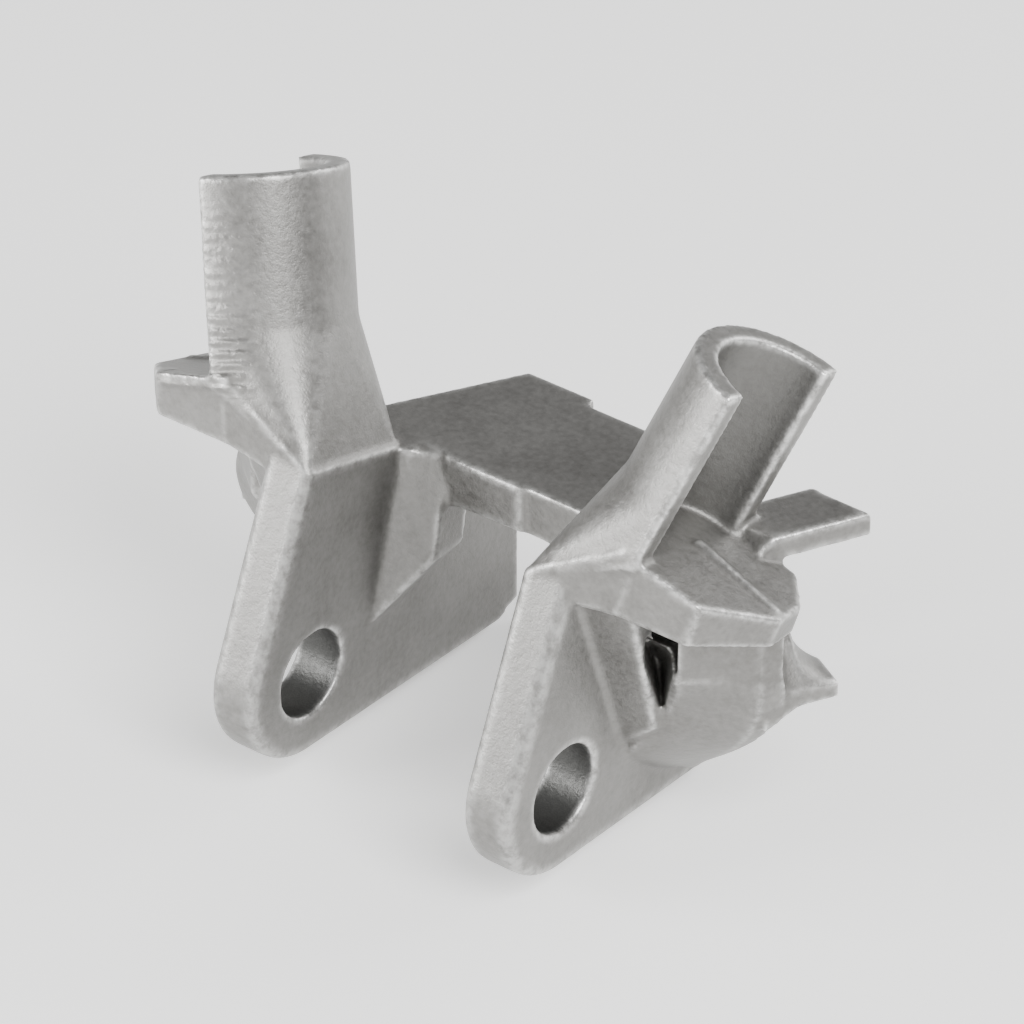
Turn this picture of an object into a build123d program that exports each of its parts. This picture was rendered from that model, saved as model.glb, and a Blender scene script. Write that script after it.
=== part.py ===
from build123d import *
import math
import os

# Cast frame bracket in millimetres. X runs along the cross bore, Y to the rear, Z up.
# The origin is on the axis of the cross bore, midway between the two ears.

# Cross bore and ears
bore_d = 17.4
ear_gap = 47.5
ear_t = 10.5
ear_end_r = 17.2
ear_top_y = 0.6
ear_top_z = 44.0
ear_rear_y = 59.0
ear_low_drop = 4.3
ear_edge_r = 2.0
ear_nose_sweep = 270.0
plate_draft = 2.6

# Deck between the ears
deck_top_z = 36.0
deck_mid_t = 10.2
deck_side_t = 13.5
deck_front_y = 30.0
deck_corner_y = 26.8
deck_rear_y = 58.3
deck_rear_half = 21.3
deck_side_y = 30.0
deck_side_half = 38.4
deck_web_half = 15.4
rear_pad_step = 2.4
rear_pad_end_x = -4.2
front_pad_step = 0.8
front_pad_end_x = 2.0

# Inner gussets below the deck
gusset_low_y = 16.2
gusset_low_z = 0.6
gusset_mid_z = 14.2
gusset_mid_y = 26.0
gusset_depth = 9.0

# Leaning half-open sockets
tube_d = 25.4
tube_clearance = 0.4
socket_wall = 4.6
socket_lean_out = 18.8
socket_lean_back = 19.4
socket_rim_x = 59.4
socket_rim_y = 30.0
socket_rim_z = 81.6
barrel_sink = 0.6

# Flange at the foot of each socket, its top square to the socket's axis
flange_l = 36.5
flange_plan_z = 44.0
flange_root_x = 44.0
flange_root_y = 1.6
flange_nose_x = 59.3
flange_nose_y = 2.9
flange_mid_x = 64.5
flange_mid_y = 10.8
flange_tip_x = 68.9
flange_tip_y = 17.2
left_nose_extra = 2.2
left_mid_x = 69.6
left_mid_y = 11.9
flange_side_x = 68.0
flange_side_y = 26.0
flange_rear_x = 61.4
flange_rear_y = 34.2
flange_draft_out = 0.284
flange_draft_back = 0.042
flange_under_z = 40.4
flange_under_out = 0.05
flange_under_back = 0.30
shoulder_ear_front_z = 39.5
shoulder_ear_rear_z = 24.0

# Buttress bodies below the flanges, given by plan points at falling heights
body_back_y = 40.0
body_ear_y = 17.0
body_front_x = 48.3
body_front_y = 13.5
body_side_x = 59.8
body_side_y = 23.7
body_side_l = 4.8
body_mid_z = 22.0
body_belt_z = 11.0
belt_ear_y = 18.5
belt_front_x = 43.4
belt_front_y = 17.4
belt_side_x = 58.6
belt_side_y = 23.7
body_waist_z = -0.5
waist_front_x = 36.0
waist_front_y = 17.6
waist_side_x = 50.5
waist_side_y = 27.5
waist_side_l = 3.0
body_foot_z = -14.5
foot_front_y = 34.0
foot_out = 3.2
foot_side_l = 1.6
slot_in_x = 39.0
slot_low_z = 26.0
slot_floor_z = 23.0
slot_back_y = 28.0

# Outer ribs between ear and body
rib_top_y = 2.9
rib_low_y = 16.5
rib_low_z = 0.3
rib_out_x = 44.3
rib_out_y = 5.8
rib_low_x = 42.0
rib_out_low_z = 7.1
rib_depth = 5.0

# Upper tabs behind the sockets and lower tongues
tab_top_z = 46.0
tab_t = 5.0
tab_root = (55.8, 32.4)
tab_l = 19.5
tab_w = 12.0
tab_tail_in = 6.0
tongue_top_z = 16.9
tongue_t = 3.6
tongue_l = 15.8
tongue_w = 8.5
tongue_rise = 15.0
tongue_wall_run = 8.5
tongue_web_r = 15.0
tongue_root_run = 8.0
tongue_root_drop = 4.0
fin_turn = 28.5

# Overlap that lets joined forms fuse
sink = 0.5

ear_in = ear_gap / 2
ear_out = ear_in + ear_t
socket_bore_r = (tube_d + tube_clearance) / 2
socket_r = socket_bore_r + socket_wall
slope_out = math.tan(math.radians(socket_lean_out))
slope_back = math.tan(math.radians(socket_lean_back))
axis_dir = Vector(slope_out, slope_back, 1).normalized()
mouth_dir = (Vector(1, 0, 0) - axis_dir * axis_dir.X).normalized()
rim_point = Vector(socket_rim_x, socket_rim_y, socket_rim_z)


def socket_plane(depth):
    """Plane across the right socket at a depth below its rim, with X towards the open side."""
    return Plane(origin=rim_point - axis_dir * depth, x_dir=mouth_dir, z_dir=axis_dir)


# Ear plate
with BuildPart() as ear:
    with BuildSketch(Plane.YZ.offset(ear_in)):
        with BuildLine():
            apex_reach = math.hypot(ear_top_y, ear_top_z)
            apex_angle = math.degrees(math.atan2(ear_top_z, ear_top_y))
            start = apex_angle + math.degrees(math.acos(ear_end_r / apex_reach))
            nose = CenterArc((0, 0), ear_end_r, start, ear_nose_sweep - start)
            Polyline(nose @ 1, (ear_rear_y, -ear_end_r - ear_low_drop), (ear_rear_y, deck_top_z),
                     (deck_corner_y, deck_top_z), (ear_top_y, ear_top_z), nose @ 0)
        make_face()
    extrude(amount=ear_t)
    rim_edges = ear.edges().filter_by(Plane.YZ)
    nose_edges = rim_edges.filter_by(lambda e: e.center().Y < ear_top_y)
    fillet(nose_edges, radius=ear_edge_r)

# Deck with an arched underside
with BuildPart() as deck:
    with BuildSketch(Plane.XZ.offset(-deck_front_y)):
        with BuildLine():
            Polyline((-ear_in - sink, deck_top_z - deck_side_t), (-ear_in - sink, deck_top_z),
                     (ear_in + sink, deck_top_z), (ear_in + sink, deck_top_z - deck_side_t))
            ThreePointArc((ear_in + sink, deck_top_z - deck_side_t), (0, deck_top_z - deck_mid_t),
                          (-ear_in - sink, deck_top_z - deck_side_t))
        make_face()
    extrude(amount=-(deck_rear_y + rear_pad_step - deck_front_y))
    with BuildSketch(Plane.XZ.offset(-deck_front_y)):
        with BuildLine():
            Polyline((-deck_web_half, deck_top_z - deck_mid_t), (-deck_web_half, deck_top_z),
                     (front_pad_end_x, deck_top_z), (front_pad_end_x, deck_top_z - deck_mid_t), close=True)
        make_face()
    extrude(amount=front_pad_step)


def web(corners, depth):
    """Plate with a flat front through the corners, running back by its depth."""
    return extrude(Face(Wire.make_polygon(corners, close=True)), amount=depth, dir=(0, 1, 0))


# Inner gusset between ear and deck, its front folded along one diagonal
gusset_fold = [Vector(ear_in + sink, deck_corner_y, deck_top_z - sink),
               Vector(deck_web_half, gusset_mid_y, gusset_mid_z)]
gusset_top = Vector(deck_web_half, deck_front_y, deck_top_z - sink)
gusset_low = Vector(ear_in + sink, gusset_low_y, gusset_low_z)
gusset = [web(gusset_fold + [corner], gusset_depth) for corner in (gusset_top, gusset_low)]

# Deck wing that carries the back of the socket
with BuildPart() as wing:
    with BuildSketch(Plane.XY.offset(deck_top_z)):
        Polygon((deck_rear_half, deck_corner_y), (deck_side_half, deck_side_y - gusset_depth),
                (deck_side_half, deck_side_y), (deck_rear_half, deck_rear_y), align=None)
    extrude(amount=-deck_side_t)

# Plan outline that trims the rear of ears and deck
rear_slope = (deck_side_half - deck_rear_half) / (deck_rear_y - deck_side_y)
pad_half = deck_rear_half - rear_slope * rear_pad_step
with BuildPart() as plan_trim:
    with BuildSketch(Plane.XY.offset(deck_top_z)) as trim_outline:
        Polygon((-deck_side_half, -ear_end_r - sink), (deck_side_half, -ear_end_r - sink),
                (deck_side_half, deck_side_y), (deck_rear_half, deck_rear_y), (rear_pad_end_x, deck_rear_y),
                (rear_pad_end_x - sink, deck_rear_y + rear_pad_step),
                (-pad_half, deck_rear_y + rear_pad_step), (-deck_side_half, deck_side_y), align=None)
    extrude(amount=-(deck_top_z + ear_end_r + ear_low_drop + sink), taper=-plate_draft)
    extrude(trim_outline.sketch, amount=ear_top_z - deck_top_z + sink)

# Half barrel of the socket, its flat side open and facing outward
half_disc = Circle(socket_r) & Pos(-socket_r, 0) * Rectangle(2 * socket_r, 2 * socket_r)
barrel_foot = socket_plane(flange_l + barrel_sink)
barrel = extrude(barrel_foot * half_disc, amount=flange_l + barrel_sink)

# Blend from the barrel's foot to the top edge of the ear: two cones and the flat facet between them
ear_apex = Vector(ear_in + sink, ear_top_y + sink, ear_top_z - sink)
ear_corner = Vector(ear_in + sink, deck_corner_y + sink, deck_top_z - sink)
edge_run = ear_corner - ear_apex
meet = ear_apex + edge_run * ((barrel_foot.origin - ear_apex).dot(axis_dir) / edge_run.dot(axis_dir))
meet_flat = barrel_foot.to_local_coords(meet)
meet_reach = math.hypot(meet_flat.X, meet_flat.Y)
touch_turn = math.atan2(meet_flat.Y, meet_flat.X) - math.acos(socket_r / meet_reach)
touch_flat = Vector(math.cos(touch_turn), math.sin(touch_turn)) * socket_r
touch = barrel_foot.from_local_coords(touch_flat)
half_ring = (barrel_foot * half_disc).face().outer_wire()
cones = [Solid.make_loft([half_ring, Vertex(*tip)]) for tip in (ear_apex, ear_corner)]
facet_corners = (ear_apex, ear_corner, touch, barrel_foot.origin)
facet_rings = [[corner for corner in facet_corners if corner is not skipped] for skipped in facet_corners]
facet_sides = [Face(Wire.make_polygon(ring, close=True)) for ring in facet_rings]
socket = barrel + cones + Solid(Shell(facet_sides))

# The tube's seat, its floor level with the top of the flange
with BuildPart() as bore:
    with BuildSketch(socket_plane(flange_l)):
        Circle(socket_bore_r)
    extrude(amount=flange_l + sink)

# Flange below the socket: a drafted outline between a top square to the socket and a near-level underside
flange_top = socket_plane(flange_l)
flange_under = Plane(origin=(flange_nose_x, flange_nose_y, flange_under_z),
                     z_dir=(flange_under_out, flange_under_back, 1))
flange_draft = Vector(flange_draft_out, flange_draft_back, 1)
outline_rear = [(flange_tip_x, flange_tip_y), (flange_side_x, flange_side_y),
                (flange_rear_x, flange_rear_y), (flange_root_x, flange_rear_y)]


def flange(nose, mid, draft):
    """Flange whose outline passes a nose and a middle point, with its own draft."""
    outline = Polygon((flange_root_x, flange_root_y), nose, mid, *outline_rear, align=None)
    column = extrude(Plane.XY.offset(flange_plan_z) * outline, amount=ear_end_r, dir=draft, both=True)
    lower = split(column, bisect_by=flange_top, keep=Keep.BOTTOM)
    return split(lower, bisect_by=flange_under, keep=Keep.TOP)


right_flange = flange((flange_nose_x, flange_nose_y), (flange_mid_x, flange_mid_y), flange_draft)
left_flange = mirror(flange((flange_nose_x + left_nose_extra, flange_nose_y), (left_mid_x, left_mid_y),
                            Vector(0, 0, 1)), about=Plane.YZ)


def height_on(plane, x, y):
    """Height of a leaning plane at a plan point."""
    return (plane.origin - Vector(x, y, 0)).dot(plane.z_dir) / plane.z_dir.Z


# Shoulder that joins the flange to the ear
shoulder_ear = [(ear_top_y, ear_top_z), (deck_corner_y, deck_top_z), (deck_corner_y, shoulder_ear_rear_z),
                (ear_top_y - sink, shoulder_ear_front_z)]
shoulder_x = flange_root_x + 2 * sink
shoulder_out = [(y, height_on(plane, shoulder_x, y)) for plane, y in (
    (flange_top, flange_root_y + sink), (flange_top, flange_rear_y - sink),
    (flange_under, flange_rear_y - sink), (flange_under, flange_root_y + sink))]
shoulder = loft([Plane.YZ.offset(ear_in + sink) * Polygon(*shoulder_ear, align=None),
                 Plane.YZ.offset(shoulder_x) * Polygon(*shoulder_out, align=None)], ruled=True)

# Directions of the body's outer side, shared by the upper tab and the lower tongue
fin_dir = Vector(math.sin(math.radians(fin_turn)), math.cos(math.radians(fin_turn)), 0)
fin_out = fin_dir.cross(Vector(0, 0, 1))


def fin_point(root, run, inset):
    """Plan point at a run along a fin's front edge and an inset behind it."""
    spot = Vector(*root) + fin_dir * run - fin_out * inset
    return (spot.X, spot.Y)


# Buttress body that sweeps from the flange in to the foot of the ear, with a valley beside the rib
ear_side_x = ear_out - sink
body_levels = [
    (body_mid_z, body_ear_y, (body_front_x, body_front_y), (body_side_x, body_side_y), body_side_l),
    (body_belt_z, belt_ear_y, (belt_front_x, belt_front_y), (belt_side_x, belt_side_y), body_side_l),
    (body_waist_z, waist_front_y, (waist_front_x, waist_front_y), (waist_side_x, waist_side_y), waist_side_l),
    (body_foot_z, foot_front_y, (ear_out, foot_front_y), (ear_out + foot_out, foot_front_y + sink),
     foot_side_l)]
body_sections = [Plane.XY.offset(z) * Polygon(
    (ear_side_x, ear_y), front, side, fin_point(side, side_l, 0), (ear_side_x, body_back_y), align=None)
    for z, ear_y, front, side, side_l in body_levels]
body_upper = extrude(body_sections[0], amount=flange_under_z - body_mid_z)
body = split(body_upper, bisect_by=flange_under.offset(2 * sink), keep=Keep.BOTTOM) + loft(body_sections)
with BuildPart() as slot:
    with BuildSketch(Plane.XZ.offset(-slot_back_y)):
        Polygon((slot_in_x, flange_under_z), (body_front_x, flange_under_z), (body_front_x, slot_floor_z),
                (rib_out_x, slot_low_z), (slot_in_x, slot_low_z), align=None)
    extrude(amount=slot_back_y)

# Outer rib from the ear to the front of the body, its front folded along one diagonal
rib_fold = [Vector(ear_side_x, rib_top_y, flange_under_z), Vector(rib_low_x, rib_low_y, rib_out_low_z)]
rib_top = Vector(rib_out_x, rib_out_y, flange_under_z)
rib_low = Vector(ear_side_x, rib_low_y, rib_low_z)
rib = [web(rib_fold + [corner], rib_depth) for corner in (rib_top, rib_low)]

# Upper tab behind the socket
with BuildPart() as tab:
    with BuildSketch(Plane.XY.offset(tab_top_z)):
        Polygon(fin_point(tab_root, 0, 0), fin_point(tab_root, tab_l, 0),
                fin_point(tab_root, tab_l - tab_tail_in, tab_w), fin_point(tab_root, 0, tab_w), align=None)
    extrude(amount=-tab_t)

# Lower tongue that carries on the body's outer side, hollowed above and swept below
tongue_inner = 2 * sink
with BuildPart() as tongue:
    side_plane = Plane(origin=(body_side_x, body_side_y, tongue_top_z), x_dir=fin_dir, z_dir=fin_out)
    for inset, rise in ((0, sink), (tongue_w, tongue_rise)):
        with BuildSketch(side_plane.offset(-inset)):
            with BuildLine():
                RadiusArc((tongue_wall_run, rise), (tongue_l, 0), -tongue_web_r * tongue_rise / rise)
                Polyline((tongue_l, 0), (tongue_l, -tongue_t), (tongue_root_run, -tongue_t),
                         (tongue_inner, -tongue_t - tongue_root_drop), (tongue_inner, rise),
                         (tongue_wall_run, rise))
            make_face()
    loft(ruled=True)


def sided(shape):
    """The shape and its mirror image across the middle plane."""
    return [shape, mirror(shape, about=Plane.YZ)]


with BuildPart() as core:
    add(deck.part)
    for solid in (ear.part, wing.part):
        add(sided(solid))
    add(plan_trim.part, mode=Mode.INTERSECT)

with BuildPart() as bracket:
    add(core.part)
    add(sided(body - slot.part))
    add([right_flange, left_flange])
    for solid in (*gusset, *rib, tongue.part, tab.part, shoulder, socket):
        add(sided(solid))
    add(sided(bore.part), mode=Mode.SUBTRACT)
    with BuildSketch(Plane.YZ.offset(-ear_out - sink)):
        Circle(bore_d / 2)
    extrude(amount=2 * (ear_out + sink), mode=Mode.SUBTRACT)

bracket.part.label = "bracket"

os.makedirs("parts", exist_ok=True)
export_step(bracket.part, "parts/bracket.step")
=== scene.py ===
"""A one-piece cast frame bracket: two bored ears, a deck between them and two leaning sockets."""

import logging
import math
from dataclasses import dataclass
from enum import Enum
from typing import Any, Iterable

import bmesh
import bpy
from mathutils import Matrix, Vector


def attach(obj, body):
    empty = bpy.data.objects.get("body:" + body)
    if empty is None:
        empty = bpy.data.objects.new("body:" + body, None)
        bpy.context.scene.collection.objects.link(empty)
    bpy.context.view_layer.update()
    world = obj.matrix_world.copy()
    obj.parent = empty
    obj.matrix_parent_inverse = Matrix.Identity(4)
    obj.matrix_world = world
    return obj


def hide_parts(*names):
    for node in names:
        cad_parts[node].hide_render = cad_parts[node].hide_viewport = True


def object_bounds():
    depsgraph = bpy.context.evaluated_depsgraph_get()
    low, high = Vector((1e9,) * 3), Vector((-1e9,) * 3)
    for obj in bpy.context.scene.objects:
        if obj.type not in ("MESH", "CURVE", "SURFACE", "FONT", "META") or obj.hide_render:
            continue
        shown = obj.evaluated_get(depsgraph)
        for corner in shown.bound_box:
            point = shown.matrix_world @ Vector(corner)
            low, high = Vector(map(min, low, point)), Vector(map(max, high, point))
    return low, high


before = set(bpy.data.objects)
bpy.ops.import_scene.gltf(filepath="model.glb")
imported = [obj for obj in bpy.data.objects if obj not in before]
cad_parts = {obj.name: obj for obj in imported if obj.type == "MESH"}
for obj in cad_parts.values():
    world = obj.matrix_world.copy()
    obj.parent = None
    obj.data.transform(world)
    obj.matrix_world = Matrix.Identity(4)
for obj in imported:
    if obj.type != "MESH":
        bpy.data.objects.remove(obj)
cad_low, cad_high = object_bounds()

MM = 0.001
EDGE_NAME = "edge"
Corner = tuple[float, float, float]
Colour = tuple[float, float, float]
log = logging.getLogger("bracket")


def in_metres(*corners: Corner) -> tuple[Corner, ...]:
    """Scale corners that are written down in millimetres.

    Args:
        corners: The corners, in millimetres.

    Returns:
        The corners, in metres.
    """
    return tuple((x * MM, y * MM, z * MM) for x, y, z in corners)


class Side(Enum):
    """Which side of the middle plane a form stands on."""

    RIGHT = 1
    LEFT = -1


class Sum:
    """A shader socket whose arithmetic adds Math nodes."""

    def __init__(self, tree: "Nodes", socket: bpy.types.NodeSocket) -> None:
        """Wrap a socket.

        Args:
            tree: The node maker that adds the Math nodes.
            socket: The output socket to wrap.
        """
        self.tree = tree
        self.socket = socket

    def _math(self, operation: str, first: Any, second: Any = 0.0) -> "Sum":
        """Add one Math node.

        Args:
            operation: Blender's name for the operation.
            first: A number or a wrapped socket.
            second: A number or a wrapped socket.

        Returns:
            The wrapped result.
        """
        node = self.tree.add("ShaderNodeMath", {"operation": operation}, {0: first, 1: second})
        return Sum(self.tree, node.outputs[0])

    def __add__(self, other: Any) -> "Sum":
        """Sum of two values."""
        return self._math("ADD", self, other)

    __radd__ = __add__

    def __sub__(self, other: Any) -> "Sum":
        """This value less another."""
        return self._math("SUBTRACT", self, other)

    def __rsub__(self, other: Any) -> "Sum":
        """Another value less this one."""
        return self._math("SUBTRACT", other, self)

    def __mul__(self, other: Any) -> "Sum":
        """Product of two values."""
        return self._math("MULTIPLY", self, other)

    __rmul__ = __mul__

    def sine(self) -> "Sum":
        """Sine of this value."""
        return self._math("SINE", self)

    def clamped(self) -> "Sum":
        """This value kept between 0 and 1."""
        return self._math("MINIMUM", self._math("MAXIMUM", self, 0.0), 1.0)

    def faded(self, width: float) -> "Sum":
        """This value as a share of a width, kept between 0 and 1.

        Args:
            width: The value at which the share reaches 1.

        Returns:
            The wrapped share.
        """
        return (self * (1.0 / width)).clamped()


@dataclass(frozen=True)
class Pattern:
    """One noise pattern: its repeats in a metre, its finer layers and how strong they are."""

    scale: float
    detail: float
    roughness: float = 0.5


class Nodes:
    """Makes the nodes of one material."""

    def __init__(self, material: bpy.types.Material) -> None:
        """Clear the material's node tree and keep it.

        Args:
            material: The material to fill.
        """
        material.use_nodes = True
        self.tree = material.node_tree
        self.tree.nodes.clear()

    def add(self, kind: str, settings: dict[str, Any],
            inputs: dict[Any, Any]) -> bpy.types.Node:
        """Add a node, its settings first and then its sockets.

        Args:
            kind: The node's type.
            settings: Values of the node itself; two stops fill its colour ramp.
            inputs: A number, colour, socket or wrapped socket for each input.

        Returns:
            The new node.
        """
        node = self.tree.nodes.new(kind)
        for name, value in settings.items():
            if name == "stops":
                for stop, (place, tone) in zip(node.color_ramp.elements, value):
                    stop.position = place
                    stop.color = (*tone, 1.0)
            else:
                setattr(node, name, value)
        for name, value in inputs.items():
            if isinstance(value, Sum):
                value = value.socket
            if isinstance(value, bpy.types.NodeSocket):
                self.tree.links.new(value, node.inputs[name])
            else:
                node.inputs[name].default_value = value
        return node

    def noise(self, where: Any, pattern: Pattern) -> Sum:
        """Noise texture on a vector.

        Args:
            where: The vector socket that it reads.
            pattern: The pattern of the noise.

        Returns:
            The wrapped noise, about 0 to 1.
        """
        node = self.add("ShaderNodeTexNoise", {"noise_dimensions": "3D"}, {
            "Vector": where, "Scale": pattern.scale, "Detail": pattern.detail,
            "Roughness": pattern.roughness})
        return Sum(self, node.outputs["Fac"])

    def vector(self, operation: str, first: Any, second: Any) -> Any:
        """Add one Vector Math node.

        Args:
            operation: Blender's name for the operation.
            first: A vector or a socket.
            second: A vector or a socket.

        Returns:
            The vector socket of the result.
        """
        node = self.add("ShaderNodeVectorMath", {"operation": operation}, {0: first, 1: second})
        return node.outputs[0]

    def length(self, first: Any) -> Sum:
        """Length of a vector socket.

        Args:
            first: The vector socket.

        Returns:
            The wrapped length.
        """
        node = self.add("ShaderNodeVectorMath", {"operation": "LENGTH"}, {0: first})
        return Sum(self, node.outputs["Value"])

    def dot(self, first: Any, second: Vector) -> Sum:
        """Dot product of a vector socket and a fixed direction.

        Args:
            first: The vector socket.
            second: The direction.

        Returns:
            The wrapped product.
        """
        node = self.add("ShaderNodeVectorMath", {"operation": "DOT_PRODUCT"},
                        {0: first, 1: tuple(second)})
        return Sum(self, node.outputs["Value"])


@dataclass(frozen=True)
class SocketAxis:
    """One leaning socket's axis, which the blend, the bead and the ripple marks follow."""

    side: Side
    rim: Corner = (59.4 * MM, 30.0 * MM, 81.6 * MM)
    lean_out: float = 18.8
    lean_back: float = 19.4
    depth: float = 36.5 * MM
    bore_r: float = 12.9 * MM
    barrel_r: float = 17.5 * MM

    def mirrored(self, vector: Vector) -> Vector:
        """A right-hand vector, on this socket's side.

        Args:
            vector: The vector on the right.

        Returns:
            The vector on this side.
        """
        return Vector((vector.x * self.side.value, vector.y, vector.z))

    def along(self) -> Vector:
        """Unit vector up the socket."""
        slopes = [math.tan(math.radians(lean)) for lean in (self.lean_out, self.lean_back)]
        return self.mirrored(Vector((*slopes, 1.0)).normalized())

    def outward(self) -> Vector:
        """Unit vector across the socket, out through its open side."""
        along = self.along()
        across = Vector((float(self.side.value), 0.0, 0.0))
        return (across - along * along.dot(across)).normalized()

    def below_rim(self, distance: float) -> Vector:
        """Point on the axis, measured down from the rim.

        Args:
            distance: How far below the rim, in metres.

        Returns:
            The point.
        """
        return self.mirrored(Vector(self.rim)) - self.along() * distance

    def floor(self) -> Vector:
        """Centre of the socket's floor, level with the top of the flange."""
        return self.below_rim(self.depth)

    def turned(self, place: Vector) -> Matrix:
        """Placement whose Z runs up the socket and whose X points out through its open side.

        Args:
            place: The placement's origin.

        Returns:
            The placement.
        """
        along, outward = self.along(), self.outward()
        made = Matrix((outward, along.cross(outward), along)).transposed().to_4x4()
        made.translation = place
        return made

    def measured(self, nodes: Nodes, where: Any) -> tuple[Any, Sum, Sum]:
        """Measure a point of the skin from this axis.

        Args:
            nodes: The node maker.
            where: The object coordinates.

        Returns:
            The offset from the floor's centre, the height above it and the distance from the axis.
        """
        along = self.along()
        offset = nodes.vector("SUBTRACT", where, tuple(self.floor()))
        across = nodes.length(nodes.vector("CROSS_PRODUCT", offset, tuple(along)))
        return offset, nodes.dot(offset, along), across


@dataclass(frozen=True)
class RippleMarks:
    """Casting ripples that run down the outer front of one socket.

    A fade is the width over which the bound named before it comes in.
    """

    pitch: float = 2.1 * MM
    wobble: Pattern = Pattern(200.0, 2.0)
    wobble_turn: float = 3.0
    patches: Pattern = Pattern(330.0, 2.0)
    patch_gain: float = 4.0
    patch_cut: float = 1.1
    front: float = 9.0 * MM
    front_fade: float = 2.0 * MM
    side: float = 10.0 * MM
    side_fade: float = 2.5 * MM
    skin_inset: float = 1.6 * MM
    skin_fade: float = 1.0 * MM
    middle_fade: float = 5.0 * MM
    low_reach: float = 11.0 * MM
    low_start: float = 1.35
    low_share: float = 0.5
    foot_fade: float = 2.0 * MM
    foot_start: float = 2.0
    top: float = 32.0 * MM
    top_fade: float = 4.0 * MM

    def height(self, nodes: Nodes, where: Any, axis: SocketAxis) -> Sum:
        """Height of the marks, strongest near the socket's floor.

        Args:
            nodes: The node maker.
            where: The object coordinates.
            axis: The socket that carries the marks.

        Returns:
            The wrapped height of the marks, 0 to 1.
        """
        offset, height, across = axis.measured(nodes, where)
        outward = axis.outward()
        forward = axis.along().cross(outward) * -axis.side.value
        own_side = nodes.dot(where, axis.mirrored(Vector((1.0, 0.0, 0.0))))
        place = (nodes.dot(offset, forward) - self.front).faded(self.front_fade)
        place = place * (self.side - nodes.dot(offset, outward * -1.0)).faded(self.side_fade)
        place = place * (across - (axis.barrel_r - self.skin_inset)).faded(self.skin_fade)
        place = place * own_side.faded(self.middle_fade)
        low = (height * (-1.0 / self.low_reach) + self.low_start).clamped()
        foot = (height * (1.0 / self.foot_fade) + self.foot_start).clamped()
        top = (self.top - height).faded(self.top_fade)
        turn = height * (2.0 * math.pi / self.pitch)
        turn = turn + nodes.noise(where, self.wobble) * self.wobble_turn
        wave = turn.sine() * 0.5 + 0.5
        patchy = (nodes.noise(where, self.patches) * self.patch_gain - self.patch_cut).clamped()
        strength = low * self.low_share + (1.0 - self.low_share)
        return wave * patchy * place * strength * foot * top


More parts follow.
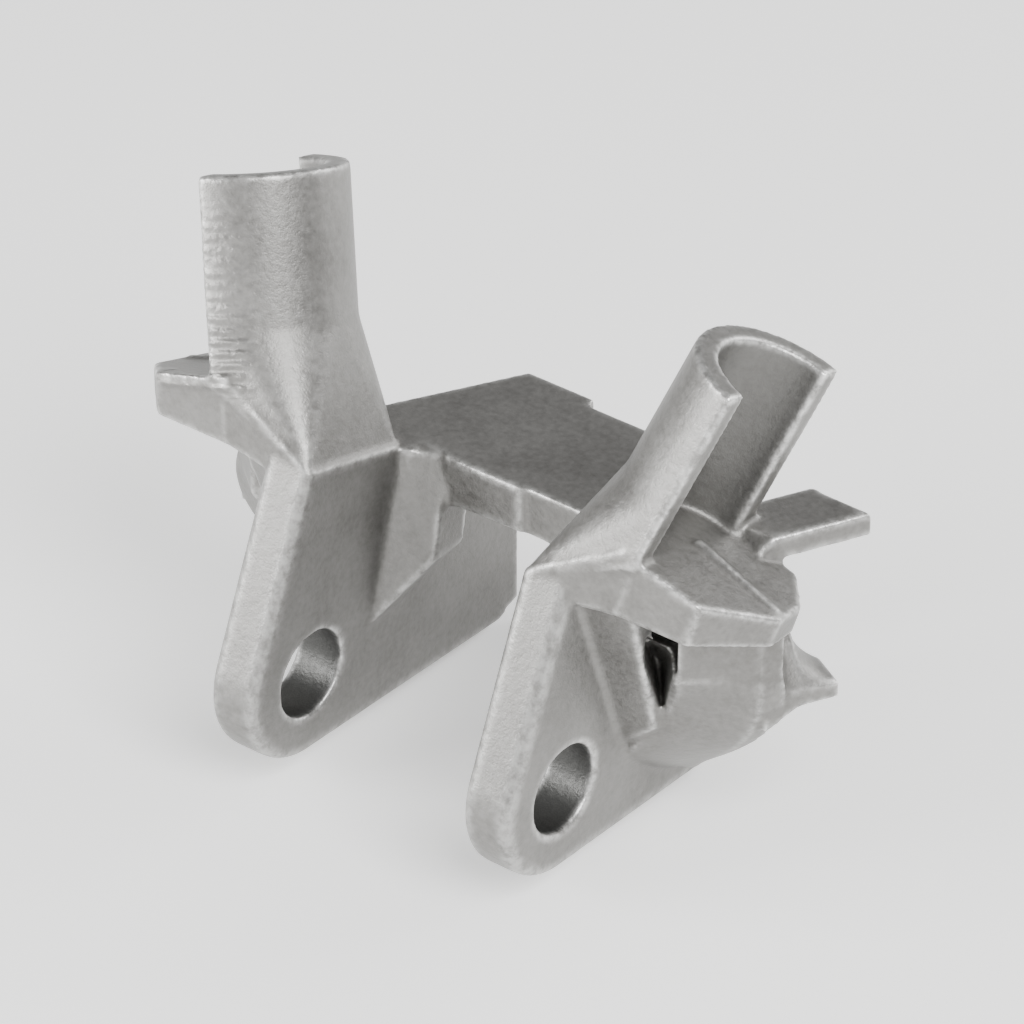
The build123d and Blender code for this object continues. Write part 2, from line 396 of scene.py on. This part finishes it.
@dataclass(frozen=True)
class CastSkin:
    """Bare cast metal: satin, with fine grain, soft mottling and small pits; painted shade darkens
    the bore walls, and a painted highlight that is partly rubbed wear lightens the convex edges.
    """

    name: str = "cast_metal"
    base: Colour = (0.240, 0.236, 0.226)
    dark: Colour = (0.158, 0.154, 0.146)
    # Painted highlight tone for the convex edges, partly rubbed wear.
    edge_highlight_tone: Colour = (0.86, 0.855, 0.84)
    # Painted shade: the dark colour laid over the bore and seat walls.
    bore_shadow_tone: Colour = (0.075, 0.075, 0.072)
    metallic: float = 0.82
    grain: Pattern = Pattern(2400.0, 2.0, 0.6)
    grain_height: float = 0.045
    pits: Pattern = Pattern(800.0, 3.0, 0.55)
    pit_height: float = 0.09
    pit_shade: float = 0.45
    mottle: Pattern = Pattern(70.0, 4.0, 0.6)
    mottle_shade: float = 0.55
    shade_from: float = 0.34
    shade_to: float = 0.62
    chips: Pattern = Pattern(480.0, 3.0, 0.65)
    chip_gain: float = 4.0
    chip_cut: float = 1.35
    chip_share: float = 0.85
    cross_bore_r: float = 8.7 * MM
    bore_margin: float = 0.35 * MM
    # How much of the painted bore shade the tubes' seats get.
    seat_share: float = 0.40
    roughness: float = 0.44
    pit_roughness: float = 0.25
    mottle_roughness: float = 0.15
    rubbed_gloss: float = 0.12
    ripples: RippleMarks = RippleMarks()
    ripple_height: float = 0.30
    relief_depth: float = 1.0 * MM

    def painted_bore_shade(self, nodes: Nodes, where: Any) -> Sum:
        """Painted shade on the walls of the cross bores and of the tubes' seats, where their
        colour is made darker.

        Args:
            nodes: The node maker.
            where: The object coordinates.

        Returns:
            The wrapped share of painted bore shade, 0 to 1.
        """
        margin = self.bore_margin
        around = nodes.length(nodes.vector("MULTIPLY", where, (0.0, 1.0, 1.0)))
        share = (self.cross_bore_r + margin - around).faded(margin)
        for side in Side:
            axis = SocketAxis(side)
            _, height, across = axis.measured(nodes, where)
            seat = (axis.bore_r + margin - across).faded(margin)
            share = share + seat * (height - margin).faded(margin) * self.seat_share
        return share.clamped()

    def mixed(self, nodes: Nodes, share: Sum, under: Any, tone: Colour) -> Any:
        """Lay one tone over a colour.

        Args:
            nodes: The node maker.
            share: How much of the tone shows, 0 to 1.
            under: The colour socket below.
            tone: The tone to lay over it.

        Returns:
            The mixed colour socket.
        """
        node = nodes.add("ShaderNodeMix", {"data_type": "RGBA"},
                         {"Factor": share, 6: under, 7: (*tone, 1.0)})
        return node.outputs[2]

    def make(self) -> bpy.types.Material:
        """Build the material.

        Returns:
            The finished material.
        """
        material = bpy.data.materials.new(self.name)
        nodes = Nodes(material)
        where = nodes.add("ShaderNodeTexCoord", {}, {}).outputs["Object"]
        grain = nodes.noise(where, self.grain)
        pits = nodes.noise(where, self.pits)
        mottle = nodes.noise(where, self.mottle)
        marks = nodes.add("ShaderNodeAttribute", {"attribute_name": EDGE_NAME}, {})
        # Painted highlight on the convex edges, partly rubbed wear, broken up in patches.
        chips = (nodes.noise(where, self.chips) * self.chip_gain - self.chip_cut).clamped()
        edge_patches = chips * self.chip_share + (1.0 - self.chip_share)
        edge_rub_and_highlight = (Sum(nodes, marks.outputs["Fac"]) * edge_patches).clamped()
        shade = nodes.add("ShaderNodeValToRGB",
                          {"stops": [(self.shade_from, self.dark), (self.shade_to, self.base)]},
                          {"Fac": mottle * self.mottle_shade + pits * self.pit_shade})
        # Painted shade in the cross bores and the tubes' seats.
        painted_bore_shade = self.painted_bore_shade(nodes, where)
        colour = self.mixed(nodes, painted_bore_shade, shade.outputs["Color"], self.bore_shadow_tone)
        # Painted edge highlight, partly rubbed wear, laid over the colour.
        colour = self.mixed(nodes, edge_rub_and_highlight, colour, self.edge_highlight_tone)
        ripple = self.ripples.height(nodes, where, SocketAxis(Side.LEFT))
        relief = grain * self.grain_height + pits * self.pit_height + ripple * self.ripple_height
        bump = nodes.add("ShaderNodeBump", {},
                         {"Strength": 1.0, "Distance": self.relief_depth, "Height": relief})
        rough = self.roughness + (pits - 0.5) * self.pit_roughness
        rough = rough + (mottle - 0.5) * self.mottle_roughness - edge_rub_and_highlight * self.rubbed_gloss
        shader = nodes.add("ShaderNodeBsdfPrincipled", {}, {
            "Base Color": colour, "Metallic": self.metallic, "Roughness": rough,
            "Normal": bump.outputs["Normal"]})
        nodes.add("ShaderNodeOutputMaterial", {}, {"Surface": shader.outputs["BSDF"]})
        return material


@dataclass(frozen=True)
class PaleFloor:
    """Plain pale floor paint."""

    name: str = "pale_floor"
    tone: Colour = (0.92, 0.92, 0.915)
    roughness: float = 0.85
    glow: float = 0.42

    def make(self) -> bpy.types.Material:
        """Build the material.

        Returns:
            The finished material.
        """
        material = bpy.data.materials.new(self.name)
        nodes = Nodes(material)
        shader = nodes.add("ShaderNodeBsdfPrincipled", {}, {
            "Base Color": (*self.tone, 1.0), "Roughness": self.roughness,
            "Emission Color": (*self.tone, 1.0), "Emission Strength": self.glow})
        nodes.add("ShaderNodeOutputMaterial", {}, {"Surface": shader.outputs["BSDF"]})
        return material


@dataclass
class Casting:
    """The bracket's one casting: the exact solid, given rounded edges and a cast skin.

    All its forms are merged in one closed skin. Corners are given for the right side.
    """

    node: str = "bracket"
    name: str = "bracket_casting"
    grid: float = 0.52 * MM
    merge_reach: float = 0.001 * MM
    soften_rounds: int = 4
    soften_factor: float = 0.5
    edge_gain: float = 7.0
    triangle_limit: int = 186000
    bead_segments: int = 20
    bead_r: float = 1.3 * MM
    bead_root_r: float = 1.625 * MM
    bead_rise: float = 0.7 * MM
    bead_across: float = 2.2 * MM
    bead_start: float = -0.5 * MM
    bead_end: float = 19.6 * MM
    # The blend runs between two heights on the barrel and two tips on the ear's top edge.
    barrel_segments: int = 72
    seat_segments: int = 96
    half_margin: float = 0.001 * MM
    blend_from: float = 28.5 * MM
    blend_to: float = 38.0 * MM
    blend_apex: Corner = (24.25 * MM, 1.1 * MM, 43.4 * MM)
    blend_corner: Corner = (24.25 * MM, 27.0 * MM, 35.0 * MM)
    # Thin tapered lip behind each ear, outside the opening between the ears.
    ear_end: tuple[Corner, ...] = in_metres(
        (23.8, 50, -19.9),
        (28.2, 50, -19.9),
        (23.8, 62.4, -18.6),
        (25.6, 62.4, -18.6),
        (23.8, 50, 28),
        (28.2, 50, 28),
        (23.8, 62.4, 24),
        (25.6, 62.4, 24))
    # Fill between the upper tab's root, the flange and the barrel.
    tab_root: tuple[Corner, ...] = in_metres(
        (55.9, 32.69, 45.95),
        (45.84, 38.15, 45.95),
        (55.9, 32.69, 38),
        (45.84, 38.15, 38),
        (54.55, 30.23, 43.6),
        (42.83, 32.61, 45.6),
        (54.55, 30.23, 36),
        (42.83, 32.61, 36))
    # Fill of the left pocket behind the rib.
    left_pocket: tuple[Corner, ...] = in_metres(
        (34.9, 17.4, 22.6),
        (48.2, 13.9, 22.6),
        (48.2, 28.4, 22.6),
        (36, 28.4, 22.6),
        (34.9, 17.4, 37),
        (48.2, 13.9, 37),
        (48.2, 28.4, 37),
        (36, 28.4, 37))
    # Fill where each front corner of the deck meets the ear.
    deck_corner: tuple[Corner, ...] = in_metres(
        (24.8, 25, 33.8),
        (16.5, 30.15, 33.8),
        (24.8, 31, 33.8),
        (16.5, 31, 33.8),
        (24.8, 25, 35.35),
        (16.5, 30.15, 35.35),
        (24.8, 31, 35.35),
        (16.5, 31, 35.35))
    # Valley between the right rib and the buttress body, which is cut away.
    valley: tuple[Corner, ...] = in_metres(
        (42.02, 11.5, 31.77),
        (49.91, 11.5, 32.18),
        (49.8, 11.5, 24.68),
        (48.98, 11.5, 20.56),
        (47.54, 11.5, 13.05),
        (45.71, 11.5, 17.55),
        (43.42, 11.5, 24.48),
        (35.17, 24, 17.97),
        (38.32, 24, 16.24),
        (37.01, 24, 14.32),
        (43.33, 17, 9.22))
    skin: CastSkin = CastSkin()

    def copy_solid(self) -> bmesh.types.BMesh:
        """Copy the exact solid and merge its loose triangles.

        Returns:
            The closed mesh.
        """
        mesh = bmesh.new()
        mesh.from_mesh(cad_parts[self.node].data)
        bmesh.ops.remove_doubles(mesh, verts=mesh.verts, dist=self.merge_reach)
        return mesh

    def add_bead(self, mesh: bmesh.types.BMesh, axis: SocketAxis) -> None:
        """Add the raised parting bead that runs across the top of a flange.

        Args:
            mesh: The mesh to add to.
            axis: The socket above the flange.
        """
        along, outward = axis.along(), axis.outward()
        back = Vector((0.0, 1.0, 0.0))
        back = (back - along * back.dot(along)).normalized()
        middle = axis.floor() + outward * (self.bead_start + self.bead_end) / 2
        middle += back * self.bead_across + along * (self.bead_rise - self.bead_r)
        turn = outward.to_track_quat("Z", "Y").to_matrix().to_4x4()
        bmesh.ops.create_cone(
            mesh, cap_ends=True, segments=self.bead_segments, radius1=self.bead_root_r,
            radius2=self.bead_r, depth=self.bead_end - self.bead_start,
            matrix=Matrix.Translation(middle) @ turn)

    def close_hull(self, hull: bmesh.types.BMesh) -> bpy.types.Object:
        """Close the convex form around a mesh's points.

        Args:
            hull: The mesh that holds the points, freed afterwards.

        Returns:
            The convex form, in a new object.
        """
        shell = bmesh.ops.convex_hull(hull, input=hull.verts)
        inner = {*shell["geom_interior"], *shell["geom_unused"]} & set(hull.verts)
        bmesh.ops.delete(hull, geom=list(inner), context="VERTS")
        bmesh.ops.recalc_face_normals(hull, faces=hull.faces)
        return self.to_object(hull)

    def hull_form(self, axis: SocketAxis, corners: Iterable[Corner]) -> bpy.types.Object:
        """Make the convex form between some corners.

        Args:
            axis: The socket on the form's side.
            corners: The form's corners, for the right side.

        Returns:
            The form, in a new object.
        """
        hull = bmesh.new()
        for corner in corners:
            bmesh.ops.create_vert(hull, co=axis.mirrored(Vector(corner)))
        return self.close_hull(hull)

    def cut_away(self, made: bpy.types.Object, tool: bpy.types.Object) -> None:
        """Cut one object out of another, and remove the tool.

        Args:
            made: The object to cut.
            tool: The object that is taken out of it.
        """
        cut = made.modifiers.new("cut", "BOOLEAN")
        cut.operation, cut.solver, cut.object = "DIFFERENCE", "EXACT", tool
        self.finish_modifiers(made)
        bpy.data.objects.remove(tool)

    def move_in(self, mesh: bmesh.types.BMesh, form: bpy.types.Object) -> None:
        """Add an object's mesh to the casting's, and remove the object.

        Args:
            mesh: The mesh to add to.
            form: The object to take over.
        """
        mesh.from_mesh(form.data)
        bpy.data.objects.remove(form)

    def add_blend(self, mesh: bmesh.types.BMesh, axis: SocketAxis) -> None:
        """Add the blend that sweeps from the barrel to the top edge of the ear.

        The tube's seat is cut out of it.

        Args:
            mesh: The mesh to add to.
            axis: The socket that the blend starts from.
        """
        hull = bmesh.new()
        for distance in (self.blend_from, self.blend_to):
            place = axis.turned(axis.below_rim(distance))
            ring = bmesh.ops.create_circle(hull, segments=self.barrel_segments,
                                           radius=axis.barrel_r, matrix=place)["verts"]
            unturned = place.inverted()
            open_half = [vert for vert in ring if (unturned @ vert.co).x > self.half_margin]
            bmesh.ops.delete(hull, geom=open_half, context="VERTS")
        for tip in (self.blend_apex, self.blend_corner):
            bmesh.ops.create_vert(hull, co=axis.mirrored(Vector(tip)))
        body = self.close_hull(hull)
        seat = bmesh.new()
        length = self.blend_to * 2
        bmesh.ops.create_cone(
            seat, cap_ends=True, segments=self.seat_segments, radius1=axis.bore_r,
            radius2=axis.bore_r, depth=length,
            matrix=axis.turned(axis.floor() + axis.along() * length / 2))
        self.cut_away(body, self.to_object(seat))
        self.move_in(mesh, body)

    def finish_modifiers(self, made: bpy.types.Object) -> None:
        """Replace an object's mesh by the result of its modifiers.

        Args:
            made: The object.
        """
        depsgraph = bpy.context.evaluated_depsgraph_get()
        finished = bpy.data.meshes.new_from_object(made.evaluated_get(depsgraph))
        made.modifiers.clear()
        made.data = finished

    def to_object(self, mesh: bmesh.types.BMesh) -> bpy.types.Object:
        """Put a mesh in a new object at the origin.

        Args:
            mesh: The mesh, freed afterwards.

        Returns:
            The new object, linked to the scene.
        """
        data = bpy.data.meshes.new(self.name)
        mesh.to_mesh(data)
        mesh.free()
        made = bpy.data.objects.new(self.name, data)
        bpy.context.scene.collection.objects.link(made)
        return made

    def skin_over(self, made: bpy.types.Object) -> None:
        """Rebuild the surface on an even grid, as one closed skin.

        Args:
            made: The object to rebuild.
        """
        remesh = made.modifiers.new("skin", "REMESH")
        remesh.mode = "VOXEL"
        remesh.voxel_size = self.grid
        remesh.adaptivity = 0.0
        remesh.use_smooth_shade = True
        self.finish_modifiers(made)

    def lighten(self, made: bpy.types.Object) -> None:
        """Thin the mesh where it is flat, to keep within the triangle limit.

        Args:
            made: The object to thin.
        """
        triangles = sum(len(polygon.vertices) - 2 for polygon in made.data.polygons)
        thin = made.modifiers.new("thin", "DECIMATE")
        thin.ratio = min(self.triangle_limit / triangles, 1.0)
        self.finish_modifiers(made)

    def soften(self, mesh: bmesh.types.BMesh) -> None:
        """Round the edges a little.

        Args:
            mesh: The mesh to soften.
        """
        for _ in range(self.soften_rounds):
            bmesh.ops.smooth_vert(mesh, verts=mesh.verts, factor=self.soften_factor,
                                  use_axis_x=True, use_axis_y=True, use_axis_z=True)

    def mark_edges(self, mesh: bmesh.types.BMesh) -> None:
        """Store how much each point stands proud of its neighbours, for the painted edge
        highlight, which is partly rubbed wear.

        Args:
            mesh: The mesh to mark.
        """
        mesh.normal_update()
        layer = mesh.verts.layers.float.new(EDGE_NAME)
        for vert in mesh.verts:
            around = [edge.other_vert(vert).co for edge in vert.link_edges]
            middle = sum(around, Vector()) / len(around)
            proud = (vert.co - middle).dot(vert.normal) / self.grid
            vert[layer] = min(max(proud * self.edge_gain, 0.0), 1.0)

    def merge_forms(self) -> bpy.types.Object:
        """Put the solid and the forms added to it in one object.

        Returns:
            The object, whose forms still overlap.
        """
        mesh = self.copy_solid()
        for side in Side:
            axis = SocketAxis(side)
            self.add_bead(mesh, axis)
            self.add_blend(mesh, axis)
            for corners in (self.ear_end, self.tab_root, self.deck_corner):
                self.move_in(mesh, self.hull_form(axis, corners))
        self.move_in(mesh, self.hull_form(SocketAxis(Side.LEFT), self.left_pocket))
        return self.to_object(mesh)

    def build(self) -> None:
        """Make the casting and dress it."""
        made = self.merge_forms()
        self.skin_over(made)
        self.cut_away(made, self.hull_form(SocketAxis(Side.RIGHT), self.valley))
        self.skin_over(made)
        mesh = bmesh.new()
        mesh.from_mesh(made.data)
        self.soften(mesh)
        self.mark_edges(mesh)
        mesh.to_mesh(made.data)
        mesh.free()
        self.lighten(made)
        made.data.shade_smooth()
        made.data.materials.clear()
        made.data.materials.append(self.skin.make())
        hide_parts(self.node)
        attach(made, "root")
        marked = EDGE_NAME in made.data.attributes
        log.info("%s: %d faces, edges marked: %s", self.name, len(made.data.polygons), marked)


@dataclass(frozen=True)
class SoftLight:
    """One square soft light that faces the bracket, in metres and watts."""

    name: str
    place: Corner
    size: float
    power: float


@dataclass
class Studio:
    """Floor, soft lights and the camera at the photograph's angle."""

    azimuth: float = 37.349
    elevation: float = 35.026
    roll: float = -0.109
    distance: float = 1292.98 * MM
    lens: float = 250.425
    sensor: float = 36.0
    clip: tuple[float, float] = (0.05, 50.0)
    target: Corner = (0.911 * MM, 28.074 * MM, 31.053 * MM)
    floor_gap: float = 0.5 * MM
    floor_reach: float = 3.0
    lights: tuple[SoftLight, ...] = (
        SoftLight("key", (-0.42, -0.50, 0.22), 0.35, 5.6),
        SoftLight("front", (0.15, -1.3, 0.35), 0.9, 3.6),
        SoftLight("fill", (0.9, -0.35, 0.95), 0.8, 24.0),
        SoftLight("back", (0.45, 0.95, 0.50), 0.8, 9.0))
    sky: Colour = (0.50, 0.50, 0.50)
    sky_strength: float = 1.0

    def camera(self) -> None:
        """Place the camera at the photograph's angle."""
        turn, lift = math.radians(self.azimuth), math.radians(self.elevation)
        level = math.cos(lift)
        back = Vector((math.sin(turn) * level, -math.cos(turn) * level, math.sin(lift)))
        right = Vector((math.cos(turn), math.sin(turn), 0.0))
        up = back.cross(right)
        roll = Matrix.Rotation(math.radians(self.roll), 3, back)
        right, up = roll @ right, roll @ up
        data = bpy.data.cameras.new("camera")
        data.lens, data.sensor_width = self.lens, self.sensor
        data.clip_start, data.clip_end = self.clip
        made = bpy.data.objects.new("camera", data)
        axes = Matrix((right, up, back)).transposed().to_4x4()
        axes.translation = Vector(self.target) + back * self.distance
        made.matrix_world = axes
        bpy.context.scene.collection.objects.link(made)
        bpy.context.scene.camera = made

    def light(self, soft: SoftLight) -> None:
        """Add one light.

        Args:
            soft: The light to add.
        """
        data = bpy.data.lights.new(soft.name, "AREA")
        data.shape, data.size, data.energy = "SQUARE", soft.size, soft.power
        made = bpy.data.objects.new(soft.name, data)
        made.location = Vector(soft.place)
        made.rotation_mode = "QUATERNION"
        made.rotation_quaternion = (made.location - Vector(self.target)).to_track_quat("Z", "Y")
        bpy.context.scene.collection.objects.link(made)

    def floor(self, level: float) -> None:
        """Lay the floor below the bracket.

        Args:
            level: The bracket's lowest height, in metres.
        """
        mesh = bmesh.new()
        bmesh.ops.create_grid(mesh, x_segments=2, y_segments=2, size=self.floor_reach)
        bmesh.ops.translate(mesh, verts=mesh.verts, vec=(0.0, 0.0, level - self.floor_gap))
        data = bpy.data.meshes.new("floor")
        mesh.to_mesh(data)
        mesh.free()
        data.materials.append(PaleFloor().make())
        made = bpy.data.objects.new("floor", data)
        bpy.context.scene.collection.objects.link(made)

    def build(self, level: float) -> None:
        """Set up the whole studio.

        Args:
            level: The bracket's lowest height, in metres.
        """
        self.camera()
        self.floor(level)
        for soft in self.lights:
            self.light(soft)
        world = bpy.data.worlds.new("studio")
        world.use_nodes = True
        sky = world.node_tree.nodes["Background"].inputs
        sky["Color"].default_value = (*self.sky, 1.0)
        sky["Strength"].default_value = self.sky_strength
        bpy.context.scene.world = world
        log.info("studio: %d lights", len(self.lights))


def main() -> None:
    """Build the casting and the studio."""
    logging.basicConfig(level=logging.INFO, format="%(message)s")
    Casting().build()
    Studio().build(cad_low.z)


if __name__ == "__main__":
    main()
